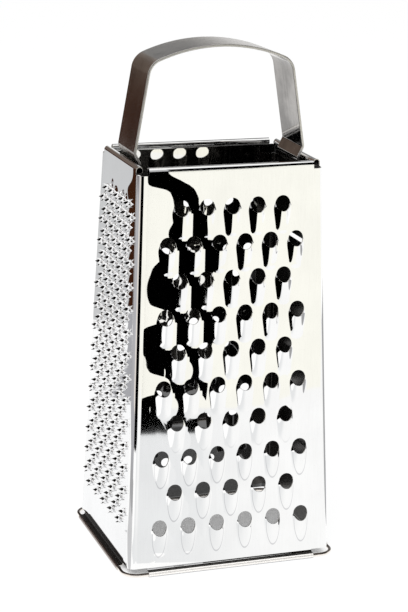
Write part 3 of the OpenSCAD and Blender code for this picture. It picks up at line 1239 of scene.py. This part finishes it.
@dataclass
class Sheet:
    """One pressed sheet of the body, with the forms in its face."""

    side: Side
    node: str
    finishes: tuple[SteelFinish, SteelFinish, SteelFinish]
    forms: list[tuple[bpy.types.Mesh, float, float]] = field(default_factory=list)
    torn: bool = False

    def __post_init__(self) -> None:
        """Works out the face."""
        self.face = Face(self.side)

    def edge_inset(self) -> float:
        """Distance across the face from the sharp corner to the end of its flat."""
        seam = 0.0 if self.face.wide else SIZES.lip_w + SIZES.seam_gap
        return (SIZES.bend_at + seam) / math.cos(math.atan(self.face.slope))

    def hem_middle(self) -> float:
        """Place of the rim roll's middle, up the slope."""
        r, lean = SIZES.hem_d / 2, self.face.lean
        return (SIZES.rim_h - r - SIZES.foot_h + r * math.sin(lean)) / math.cos(lean)

    def outline(self, bm: BMesh) -> Edges:
        """Draws the edge of the flat.

        Args:
            bm: the mesh.

        Returns:
            The edges.
        """
        face, inset = self.face, self.edge_inset()
        top = face.up(SIZES.rim_h - SIZES.hem_d)
        foot = face.half_width - SIZES.base_setback
        rim = face.half_at(self.hem_middle()) - SIZES.hem_setback
        levels = [0.0, top]
        if not face.wide:
            low = face.up(SIZES.foot_h + SIZES.flange_base)
            levels = [0.0, low, face.up(SIZES.rim_h - SIZES.flange_drop), top]
        right = [(face.half_at(v) - inset, v) for v in levels]
        points = [(-foot, 0.0), (foot, 0.0), *right, (rim, top), (-rim, top)]
        points += [(-u, v) for u, v in reversed(right)]
        verts = [bm.verts.new((u, v, 0.0)) for u, v in points]
        return [bm.edges.new((a, b)) for a, b in zip(verts, verts[1:] + verts[:1])]

    @staticmethod
    def rows_of(bm: BMesh, test: Callable[[Vector], bool]) -> Edges:
        """Edges on the border of the surface, whose two ends pass a test."""
        return [e for e in bm.edges if e.is_boundary and all(test(v.co) for v in e.verts)]

    def row_at(self, bm: BMesh, level: float, reach: float) -> Edges:
        """Edges on the border of the flat at one level up the slope, within a reach of its middle."""
        return self.rows_of(
            bm, lambda co: abs(co.y - level) < 1e-3 and abs(co.z) < 1e-4 and abs(co.x) < reach,
        )

    def wrap_corner(self, bm: BMesh, hand: int) -> None:
        """Bends the sheet round one upright corner.

        Args:
            bm: the mesh.
            hand: 1 for the right side of the face and -1 for the left.
        """
        face, inset = self.face, self.edge_inset()
        low, high = -1.0, face.up(SIZES.rim_h)
        if not face.wide:
            low, high = face.up(SIZES.foot_h + SIZES.flange_base), face.up(SIZES.rim_h - SIZES.flange_drop)

        def beside(co: Vector) -> bool:
            """Whether a point is on the end of the flat."""
            level = low - 0.01 < co.y < high + 0.01
            return level and abs(co.z) < 1e-4 and abs(co.x * hand - face.half_at(co.y) + inset) < 1e-3

        edges = self.rows_of(bm, beside)
        axis = Vector((-hand * face.slope, 1, 0)).normalized()
        out = (Vector((hand, 0, 0)) - axis * axis.x * hand).normalized()
        corner = Vector((hand * face.half_width, 0, 0))
        centre = corner - out * SIZES.bend_at - Vector((0, 0, SIZES.corner_r))
        if not face.wide:
            depth, step = SIZES.sheet_t + SIZES.nest_gap, SIZES.seam_step
            edges = draw_out(bm, edges, Vector((0, 0, -depth)) + out * step)
            edges = draw_out(bm, edges, out * (SIZES.lip_w + SIZES.seam_gap - step))
        edges = fold(bm, edges, centre, axis, hand * SIZES.bend_turn, 10)
        after = Matrix.Rotation(hand * SIZES.bend_turn, 3, axis) @ out
        draw_out(bm, edges, after * (SIZES.lip_w if face.wide else SIZES.flange_w))

    def roll_rim(self, bm: BMesh) -> None:
        """Draws the neck up and rolls the rim inward.

        Args:
            bm: the mesh.
        """
        top, middle = self.face.up(SIZES.rim_h - SIZES.hem_d), self.hem_middle()
        reach = self.face.half_at(middle) - SIZES.hem_setback + 0.01
        edges = self.row_at(bm, top, reach)
        edges = draw_out(bm, edges, Vector((0, middle - top, 0)))
        centre = Vector((0, middle, -SIZES.hem_d / 2))
        fold(bm, edges, centre, Vector((1, 0, 0)), -1.5 * math.pi, 24)

    def roll_base(self, bm: BMesh) -> None:
        """Flares the foot outward and rolls it round the wire.

        Args:
            bm: the mesh.
        """
        lean, r = self.face.lean, SIZES.roll_r
        drop = SIZES.flare_r * math.tan(lean)
        reach = self.face.half_width - SIZES.base_setback + 0.01
        across, outward = Vector((1, 0, 0)), Vector((0, -math.sin(lean), math.cos(lean)))
        down = Vector((0, -math.cos(lean), -math.sin(lean)))
        edges = self.row_at(bm, 0.0, reach)
        turn, centre = (lean - math.pi / 2) / 8, Vector((0, -drop, SIZES.flare_r))
        edges = draw_out(bm, edges, Vector((0, -drop, 0)))
        # Painted shade: after the flare's first steps, the rest of the flare, the shelf and the roll's
        # first two steps get the near-black flare finish, with more of it on the left and right faces.
        unpainted_steps = 4 if self.face.wide else 1
        edges = fold(bm, edges, centre, across, turn * unpainted_steps, unpainted_steps)
        before = set(bm.faces)
        edges = fold(bm, edges, centre, across, turn * (8 - unpainted_steps), 8 - unpainted_steps)
        edges = draw_out(bm, edges, outward * SIZES.shelf_w)
        end = next(iter(edges)).verts[0].co
        centre, turn = Vector((0, end.y, end.z)) + down * r, math.pi / 16
        edges = fold(bm, edges, centre, across, turn * 2, 2)
        for face in set(bm.faces) - before:
            face.material_index = Skin.FLARE
        before = set(bm.faces)
        fold(bm, edges, centre, across, turn * 22, 22)
        for face in set(bm.faces) - before:
            face.material_index = Skin.BEAD

    def surface(self) -> BMesh:
        """Builds the sheet's outer surface on the body, in millimetres.

        Returns:
            The surface.
        """
        bm = bmesh.new()
        if self.torn:
            bm.verts.layers.float.new("thin")
        loops = self.outline(bm)
        for mesh, u, v in self.forms:
            before = len(bm.verts)
            bm.from_mesh(mesh)
            bm.verts.ensure_lookup_table()
            bmesh.ops.translate(bm, verts=bm.verts[before:], vec=(u, v, 0))
        loops += [e for e in bm.edges if e.seam]
        bmesh.ops.triangle_fill(bm, use_beauty=True, use_dissolve=False, edges=loops, normal=(0, 0, 1))
        for edge in bm.edges:
            edge.seam = False
        for hand in (-1, 1):
            self.wrap_corner(bm, hand)
        self.roll_rim(bm)
        self.roll_base(bm)
        bmesh.ops.recalc_face_normals(bm, faces=bm.faces)
        outward_up(bm, max(bm.faces, key=lambda f: f.calc_area()))
        bmesh.ops.transform(bm, matrix=self.face.matrix(), verts=bm.verts)
        for vert in bm.verts:
            vert.co.z = max(0.0, vert.co.z)
        return bm

    def build(self) -> bpy.types.Object:
        """Builds and dresses the sheet.

        Returns:
            The finished piece.
        """
        # The left and right faces get the bead's painted shaded copy, and every face gets the painted
        # shade flare finish.
        lit_or_shaded_bead = BEAD_LIGHT if self.face.wide else BEAD_PAINTED_SHADE
        kinds = (*self.finishes, FLARE_PAINTED_SHADE, lit_or_shaded_bead)
        outside, inside, cut, flare, bead = (finish.material() for finish in kinds)
        made = [outside, inside, cut, flare, inside, cut, bead, inside, cut]
        if self.torn:
            torn = TORN_STEEL.material()
            made += [torn, inside, torn]
        name = self.node + "_sheet"
        obj = finish_object(name, self.surface(), made, SIZES.sheet_t, thin_group=self.torn)
        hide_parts(self.node)
        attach(obj, "root")
        return obj


def weld_forms(face: Face) -> list[tuple[bpy.types.Mesh, float, float]]:
    """The two weld marks of a handle's tab on a side face.

    Args:
        face: the face.

    Returns:
        The marks with their places.
    """
    mark, v = WeldMark().mesh(), face.up(SIZES.rim_h - SIZES.weld_drop)
    return [(mark, -SIZES.weld_aside, v), (mark, SIZES.weld_aside, v)]


def coarse_sheet() -> Sheet:
    """The front sheet, with its coarse scoops.

    Returns:
        The sheet.
    """
    form = Scoop(mouth=7.0, lip=2.1, tail=0.5, half=4.9, tail_half=3.5, length=12.0, tail_r=2.6).mesh()
    places = Rows(rows=10, cols=6, margin=14.3).places(Face(Side.FRONT))
    finishes = (POLISHED_COARSE, INNER_PAINTED_SHADE, SHEARED_EDGE)
    return Sheet(Side.FRONT, "front_panel", finishes, [(form, u, v) for u, v in places])


def medium_sheet() -> Sheet:
    """The back sheet, with its medium scoops.

    Returns:
        The sheet.
    """
    form = Scoop(
        mouth=4.8, lip=1.45, tail=0.6, half=3.2, tail_half=2.2, length=8.2, head=1.6, tail_r=1.5,
        spokes=32, shares=(0.25, 0.5, 0.72, 0.88, 1.0),
    ).mesh()
    places = Rows(rows=13, cols=7, margin=13.6).places(Face(Side.BACK))
    finishes = (POLISHED_PLAIN, INNER_MIRROR, SHEARED_EDGE)
    return Sheet(Side.BACK, "back_panel", finishes, [(form, u, v) for u, v in places])


def fine_sheet() -> Sheet:
    """The left sheet, with its torn stars and two weld marks.

    Returns:
        The sheet.
    """
    chance = random.Random(7)
    face = Face(Side.LEFT)
    kinds = [Star().mesh(chance) for _ in range(12)]
    forms = [(chance.choice(kinds), u, v) for u, v in Rows(rows=29, cols=6, margin=9.8).places(face)]
    forms += weld_forms(face)
    return Sheet(Side.LEFT, "left_panel", (POLISHED_FINE, INNER_PAINTED_SHADE, SHEARED_EDGE), forms, torn=True)


def slicer_sheet() -> Sheet:
    """The right sheet, with its slicing blades and two weld marks.

    Returns:
        The sheet.
    """
    face = Face(Side.RIGHT)
    forms = []
    for slot in range(3):
        v = face.up(SIZES.rim_h - 46.0 - slot * 44.0)
        width = 2 * (face.half_at(v) - 13.5)
        blade = Blade(
            mouth=width, lip=2.0, tail=0.0, half=width / 2, tail_half=width / 2, length=11.0, margin=0.5,
            spokes=96, shares=(0.3, 0.6, 0.85, 1.0),
        )
        forms.append((blade.mesh(), 0.0, v))
    forms += weld_forms(face)
    return Sheet(Side.RIGHT, "right_panel", (POLISHED_PLAIN, INNER_PAINTED_SHADE, SHEARED_EDGE), forms)


# ---------------------------------------------------------------- handle

@dataclass
class StrapHandle:
    """The bent strap: arch, two shoulders, two legs, joggles and tabs, in millimetres."""

    width: float = 25.0
    thickness: float = 1.2
    arch_c: Point = (0.0, 161.4)
    shoulder_c: Point = (26.319, 225.832)
    leg_lean: float = 9.5
    arch_half: float = 22.219
    leg: tuple[Point, ...] = (
        (34.604, 227.218), (40.531, 191.8), (37.848, 186.3), (43.113, 179.3), (43.62, 163.3),
    )
    joggle_r: float = 2.0
    sink: float = 0.014
    edge_w: float = 0.22

    @staticmethod
    def spin_up(bm: BMesh, row: Edges, centre: Point, turn: float, steps: int) -> Edges:
        """Bends the strap's end about a centre in X and Z.

        Args:
            bm: the mesh.
            row: the edges at the strap's end.
            centre: in X and Z.
            turn: in radians, from +X toward +Z.
            steps: number of facets.

        Returns:
            The new end.
        """
        return fold(bm, row, Vector((centre[0], 0, centre[1])), Vector((0, -1, 0)), turn, steps)

    def half(self, bm: BMesh) -> None:
        """Builds the right half, from the tab up to the middle of the arch.

        Args:
            bm: the mesh.
        """
        path = [Vector(p) for p in reversed(self.leg)]
        start = path[0]
        verts = [bm.verts.new((start.x, y, start.y)) for y in (-self.width / 2, self.width / 2)]
        row = [bm.edges.new(verts)]
        here = start
        for before, corner, after in zip(path, path[1:], path[2:]):
            a, b = (corner - before).normalized(), (after - corner).normalized()
            turn = math.atan2(a.x * b.y - a.y * b.x, a.dot(b))
            trim = self.joggle_r * math.tan(abs(turn) / 2)
            stop = corner - a * trim
            row = draw_out(bm, row, Vector((stop.x - here.x, 0, stop.y - here.y)))
            side = 1 if turn > 0 else -1
            centre = stop + Vector((-a.y, a.x)) * side * self.joggle_r
            row = self.spin_up(bm, row, (centre.x, centre.y), turn, 8)
            here = corner + b * trim
        stop = path[-1]
        row = draw_out(bm, row, Vector((stop.x - here.x, 0, stop.y - here.y)))
        bend = math.radians(90 - self.arch_half - self.leg_lean)
        row = self.spin_up(bm, row, self.shoulder_c, bend, 16)
        self.spin_up(bm, row, self.arch_c, math.radians(self.arch_half), 24)

    def build(self) -> bpy.types.Object:
        """Builds and dresses the strap.

        Returns:
            The finished piece.
        """
        bm = bmesh.new()
        self.half(bm)
        bmesh.ops.mirror(bm, geom=bm.verts[:] + bm.edges[:] + bm.faces[:], axis="X", merge_dist=0.001)
        bmesh.ops.remove_doubles(bm, verts=bm.verts, dist=0.001)
        bmesh.ops.recalc_face_normals(bm, faces=bm.faces)
        outward_up(bm, max(bm.faces, key=lambda f: f.calc_center_median().z))
        bmesh.ops.translate(bm, verts=bm.verts, vec=(0, 0, -self.sink))
        made = [finish.material() for finish in (SATIN_STRAP, STRAP_INSIDE, SHEARED_EDGE)]
        obj = finish_object("strap_handle", bm, made, self.thickness, centred=True, bevel=self.edge_w)
        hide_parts("handle_strap")
        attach(obj, "root")
        return obj


# ---------------------------------------------------------------- studio

@dataclass
class ReflectionCard:
    """An upright curved card that only the metal sees, in metres.

    It reaches between two bearings in degrees, which are counted from the front to the right.
    """

    name: str
    start: float
    stop: float
    low: float
    high: float
    colour: Colour
    radius: float = 0.42
    fade: Optional[Colour] = None

    def ends(self) -> list[Point]:
        """Radius and height of the ends of the line that is swept, in metres."""
        return [(self.radius, self.low), (self.radius, self.high)]

    def surface(self) -> BMesh:
        """Builds the card's surface in metres.

        Returns:
            The surface.
        """
        bm = bmesh.new()
        a = math.radians(self.start)
        verts = [bm.verts.new((r * math.sin(a), -r * math.cos(a), z)) for r, z in self.ends()]
        turn = math.radians(self.stop - self.start)
        fold(bm, [bm.edges.new(verts)], Vector((0, 0, 0)), Vector((0, 0, 1)), turn, 24)
        return bm

    def build(self) -> bpy.types.Object:
        """Builds the card.

        Returns:
            The card.
        """
        mesh = keep_mesh(self.surface(), self.name)
        obj = put_down(self.name, mesh)
        paint, graph = new_paint(self.name)
        glow = graph.glow(self.colour)
        if self.fade:
            x, y, _ = graph.axes()
            share = graph.step(x + y * 0.33 + 13.5, -60.0, 45.0)
            glow = graph.node("ShaderNodeMixShader", None, {0: share, 1: glow, 2: graph.glow(self.fade)})
        graph.node("ShaderNodeOutputMaterial", None, {"Surface": glow})
        mesh.materials.append(paint)
        for ray in ("camera", "diffuse", "shadow", "transmission", "volume_scatter"):
            setattr(obj, "visible_" + ray, False)
        return obj


@dataclass
class RingCard(ReflectionCard):
    """A flat ring on the table, between two bearings. It reaches from low to high outward."""

    lift: float = 0.0004

    def ends(self) -> list[Point]:
        """Radius and height of the ends of the line that is swept, in metres."""
        return [(self.low, self.lift), (self.high, self.lift)]


@dataclass
class FloorCard(ReflectionCard):
    """A flat card on the table, along a line that leaves the near corner of the front face.

    It reaches from start to stop beside the line and from low to high along it, and radius is its height.
    """

    corner: Point = (-0.045, -0.041)
    bearing: float = 16.6

    def surface(self) -> BMesh:
        """Builds the card's surface in metres.

        Returns:
            The surface.
        """
        bm = bmesh.new()
        bmesh.ops.create_grid(bm, x_segments=1, y_segments=1, size=0.5)
        bmesh.ops.translate(bm, verts=bm.verts, vec=(0.5, -0.5, self.radius))
        bmesh.ops.scale(bm, verts=bm.verts, vec=(self.stop - self.start, self.high - self.low, 1.0))
        bmesh.ops.translate(bm, verts=bm.verts, vec=(self.start, -self.low, 0.0))
        turn = Matrix.Rotation(math.radians(self.bearing), 3, "Z")
        bmesh.ops.rotate(bm, verts=bm.verts, cent=(0, 0, 0), matrix=turn)
        bmesh.ops.translate(bm, verts=bm.verts, vec=(*self.corner, 0.0))
        return bm


# Radius of the far cards and outer reach of the wide flat ones, in metres.
FAR = 2.2


@dataclass
class Studio:
    """White table, white surround, soft lamps and the cards that the steel mirrors."""

    cards: tuple[ReflectionCard, ...] = (
        FloorCard("dark_floor_card", -2.4, 0.0, 0.29, FAR, BLACK, 0.0005),
        FloorCard("cream_floor_card", 0.0, 2.4, 0.36, FAR, CREAM, 0.0005),
        FloorCard("pale_floor_card", -0.05, 0.6, 0.02, 0.4, (0.84, 0.85, 0.86), 0.0003, WHITE),
        RingCard("dark_ring_card", -57.0, 6.0, 0.33, FAR, BLACK),
        RingCard("grey_ring_card", -152.4, -57.0, 0.25, FAR, (0.42, 0.42, 0.44)),
        ReflectionCard("dark_far_card", -57.0, 15.4, 0.0, 0.24, BLACK, FAR),
        ReflectionCard("soft_far_card", -57.0, 17.0, 0.24, 2.6, (0.46, 0.46, 0.47), FAR),
        ReflectionCard("cream_far_card", 15.4, 75.0, 0.0, 0.05, CREAM, FAR),
        ReflectionCard("dark_edge_card", 15.4, 17.0, 0.05, 0.24, BLACK, FAR),
        ReflectionCard("dark_upper_card", 17.0, 75.0, 0.05, 2.6, BLACK, FAR),
        ReflectionCard("pale_strip_card", -57.0, -78.0, 0.0, 0.5, (0.80, 0.75, 0.70)),
        ReflectionCard("side_grey_card", -78.0, -146.0, 0.0, 0.12, (0.46, 0.46, 0.48)),
        ReflectionCard("brown_low_card", -146.0, -152.4, 0.012, 0.12, BROWN),
        ReflectionCard("brown_card", -104.0, -152.4, 0.12, 0.205, BROWN),
        ReflectionCard("brown_upper_card", -152.4, -190.0, 0.135, 0.205, BROWN),
        ReflectionCard("brown_grey_card", -104.0, -178.0, 0.205, 0.45, (0.15, 0.115, 0.095)),
        ReflectionCard("table_edge_card", -152.4, -190.0, 0.0, 0.135, (0.62, 0.625, 0.63)),
        ReflectionCard("grey_low_card", 120.0, 182.0, 0.295, 0.335, (0.47, 0.46, 0.44)),
        ReflectionCard("grey_card", 120.0, 182.0, 0.335, 0.41, (0.225, 0.23, 0.235)),
        ReflectionCard("grey_high_card", 120.0, 182.0, 0.41, 0.9, (0.05, 0.05, 0.055)),
        RingCard("left_low_card", -100.0, -52.0, 0.07, 0.17, (0.62, 0.62, 0.63)),
        RingCard("left_line_card", -100.0, -52.0, 0.17, 0.25, (0.40, 0.40, 0.41)),
        RingCard("right_line_card", 80.0, 120.0, 0.06, 0.6, (0.38, 0.38, 0.39)),
    )
    table_half: float = 4.0
    table_share: float = 0.84
    painted_shadow_share: float = 0.58

    @staticmethod
    def rays(graph: Graph) -> Sock:
        """Tells the rays that show the background from the rest.

        Args:
            graph: the node tree.

        Returns:
            1 for camera, glossy and transmission rays, and 0 for others.
        """
        paths = graph.node("ShaderNodeLightPath").socket.node.outputs
        seen = [Sock(graph, paths[n]) for n in ("Is Camera Ray", "Is Glossy Ray", "Is Transmission Ray")]
        return seen[0].most(seen[1]).most(seen[2])

    def table(self) -> bpy.types.Object:
        """The white table, which keeps the object's shadow and gets a painted shadow under the grater's
        footprint.

        Returns:
            The table.
        """
        bm = bmesh.new()
        bmesh.ops.create_grid(bm, x_segments=2, y_segments=2, size=self.table_half)
        mesh = keep_mesh(bm, "table")
        obj = put_down("table", mesh)
        paint, graph = new_paint("white_table")
        lit = graph.node("ShaderNodeBsdfDiffuse", None, {"Color": (0.9, 0.9, 0.9, 1.0)})
        x, y, _ = graph.axes()
        # Painted shadow: the table glows less under the grater's footprint.
        under = graph.step(x.size(), 51.0, 47.0) * graph.step(y.size(), 42.5, 38.5)
        share = self.table_share - under * self.painted_shadow_share
        part = graph.node("ShaderNodeMixShader", None, {0: share, 1: lit, 2: graph.glow(WHITE, 1.04)})
        both = graph.node("ShaderNodeMixShader", None, {0: self.rays(graph), 1: lit, 2: part})
        graph.node("ShaderNodeOutputMaterial", None, {"Surface": both})
        mesh.materials.append(paint)
        return obj

    def surround(self) -> None:
        """The white world."""
        world = bpy.data.worlds.new("white_surround")
        world.use_nodes = True
        graph = Graph(world.node_tree)
        inputs = {"Color": (*WHITE, 1.0), "Strength": 0.8}
        soft = graph.node("ShaderNodeBackground", None, inputs)
        bright = graph.node("ShaderNodeBackground", None, {**inputs, "Strength": 1.0})
        both = graph.node("ShaderNodeMixShader", None, {0: self.rays(graph), 1: soft, 2: bright})
        graph.node("ShaderNodeOutputWorld", None, {"Surface": both})
        bpy.context.scene.world = world

    @staticmethod
    def lamp(name: str, place: Vector, size: float, watts: float) -> None:
        """Hangs one soft lamp that faces the grater.

        Args:
            name: the lamp's name.
            place: in metres.
            size: of its square face, in metres.
            watts: its power.
        """
        data = bpy.data.lights.new(name, "AREA")
        data.size = size
        data.energy = watts
        obj = put_down(name, data)
        obj.location = place
        aim = Vector((0, 0, 0.1)) - place
        obj.rotation_euler = aim.to_track_quat("-Z", "Y").to_euler()
        obj.visible_glossy = False

    def build(self) -> None:
        """Builds the whole studio."""
        self.table()
        self.surround()
        for card in self.cards:
            card.build()
        self.lamp("key_lamp", Vector((-0.9, -0.9, 1.3)), 1.0, 20.0)
        self.lamp("fill_lamp", Vector((1.1, -0.5, 1.0)), 1.0, 5.0)


@dataclass(frozen=True)
class PhotoCamera:
    """The camera at the photograph's viewing angle, in metres and degrees."""

    back: tuple[float, float, float] = (-0.32125, -0.90665, 0.27346)
    target: tuple[float, float, float] = (-1.59, 0.0, 114.86)
    distance: float = 0.8915
    roll: float = 1.44
    lens: float = 167.03

    def place(self) -> None:
        """Sets the camera in its place. The target is in millimetres."""
        back = Vector(self.back).normalized()
        right = (-back).cross(Vector((0, 0, 1))).normalized()
        up = right.cross(-back)
        roll = math.radians(self.roll)
        across = right * math.cos(roll) + up * math.sin(roll)
        above = up * math.cos(roll) - right * math.sin(roll)
        data = bpy.data.cameras.new("camera")
        data.sensor_fit = "HORIZONTAL"
        data.sensor_width = 36.0
        data.lens = self.lens
        data.clip_end = 20.0
        obj = put_down("camera", data)
        turn = Matrix((across, above, back)).transposed().to_4x4()
        spot = Vector(self.target) * MM + back * self.distance
        obj.matrix_world = Matrix.Translation(spot) @ turn
        bpy.context.scene.camera = obj


def main() -> None:
    """Builds every piece in order, then the studio and the camera."""
    logging.basicConfig(level=logging.INFO, format="%(name)s: %(message)s")
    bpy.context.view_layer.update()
    bpy.context.scene.view_settings.view_transform = "Standard"
    makers = [coarse_sheet(), fine_sheet(), medium_sheet(), slicer_sheet(), StrapHandle()]
    for maker in makers:
        piece = maker.build()
        LOG.info("%s: %d faces", piece.name, len(piece.data.polygons))
    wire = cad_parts["base_wire"]
    wire.data.materials.clear()
    wire.data.materials.append(BRIGHT_WIRE.material())
    LOG.info("%s: dressed", wire.name)
    Studio().build()
    PhotoCamera().place()


if __name__ == "__main__":
    main()
